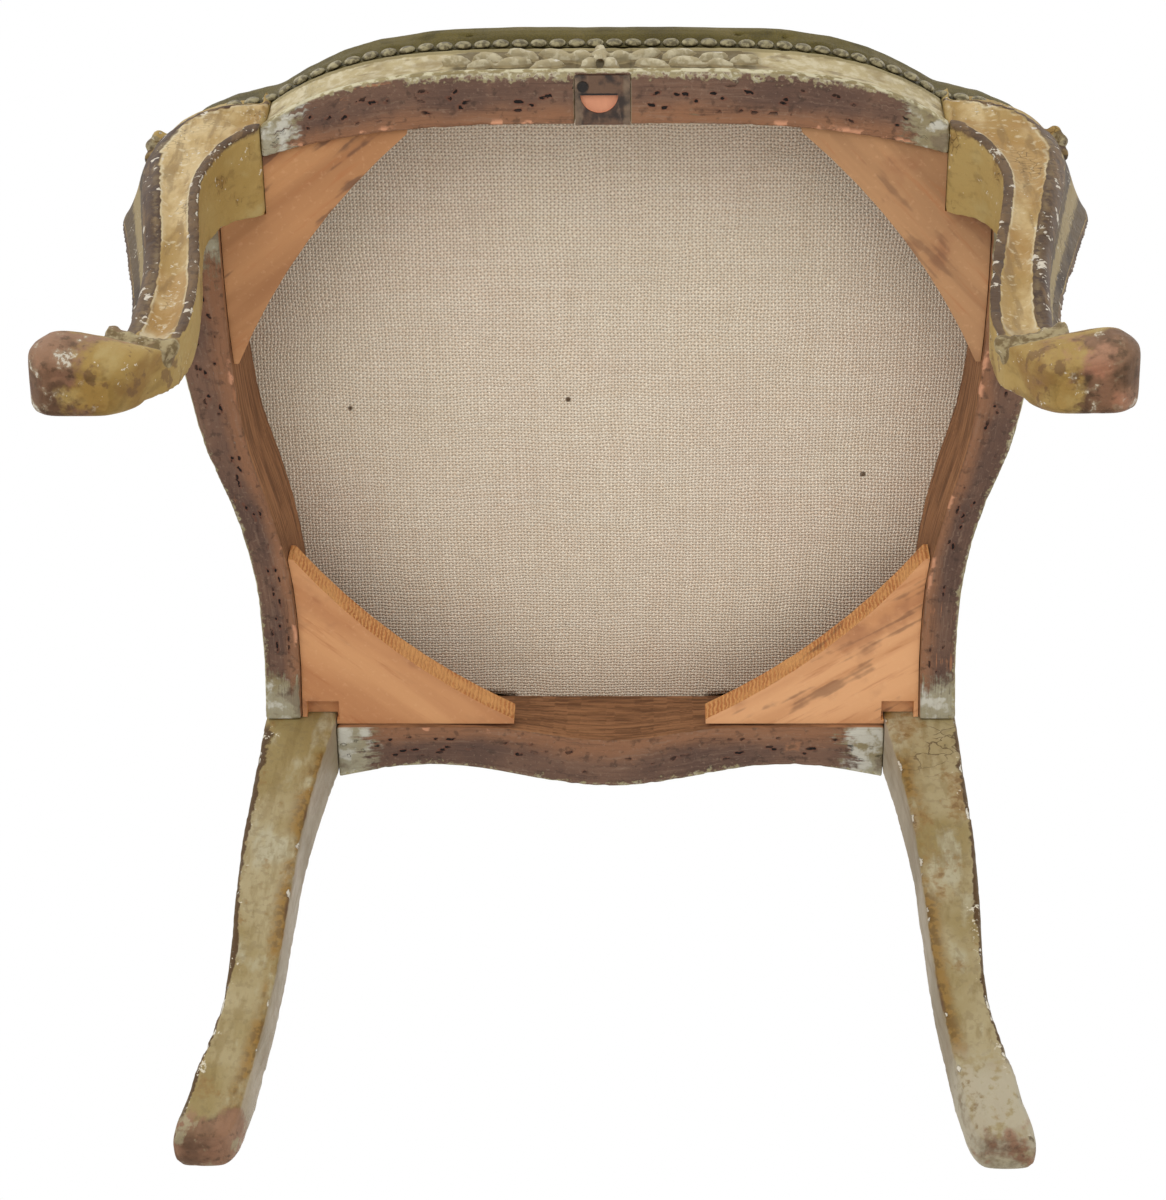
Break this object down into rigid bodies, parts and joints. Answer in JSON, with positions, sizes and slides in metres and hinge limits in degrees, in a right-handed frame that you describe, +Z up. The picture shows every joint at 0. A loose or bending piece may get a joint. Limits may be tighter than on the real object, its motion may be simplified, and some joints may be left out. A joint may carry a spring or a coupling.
{
  "type": "chair",
  "caption": "Upholstered side chair with carved and painted frame, cabriole front legs, sabre rear legs, nailed leather seat and framed, nailed back.",
  "frame": {"origin": "on the floor under the centre of the chair's box", "axes": "+Z up, -Y the way the sitter faces, +X to the right of a viewer who stands in front of the chair"},
  "size_m": [0.514, 0.539, 0.925],
  "materials": {
    "painted_wood": "worn matt paint over carved wood",
    "rail_wood": "old bare wood, matt",
    "fresh_wood": "new bare wood, sawn",
    "peg_wood": "bare wood",
    "dome_nail": "tarnished",
    "webbing": "jute, plain weave",
    "hessian": "jute, plain weave",
    "stuffing": "hair and linen",
    "olive_leather": "satin, worn"
  },
  "bodies": {
    "root": {"front_left_leg": "painted_wood", "front_right_leg": "painted_wood", "rear_left_leg": "painted_wood", "rear_right_leg": "painted_wood", "front_rail": "rail_wood", "rear_rail": "rail_wood", "left_side_rail": "rail_wood", "right_side_rail": "rail_wood", "crest_rail": "painted_wood", "lower_back_rail": "painted_wood", "front_left_block": "fresh_wood", "front_right_block": "fresh_wood", "rear_left_block": "fresh_wood", "rear_right_block": "fresh_wood", "rail_patch": "fresh_wood", "seat_pegs": "peg_wood", "back_pegs": "peg_wood", "bottom_hessian": "hessian", "seat_webbing": "webbing", "seat_stuffing": "stuffing", "seat_cover": "olive_leather", "seat_nails": "dome_nail", "back_webbing": "webbing", "back_hessian": "hessian", "back_stuffing": "stuffing", "inside_back_cover": "olive_leather", "inside_back_nails": "dome_nail", "outside_back_cover": "olive_leather", "outside_back_nails": "dome_nail"}
  },
  "joints": []
}
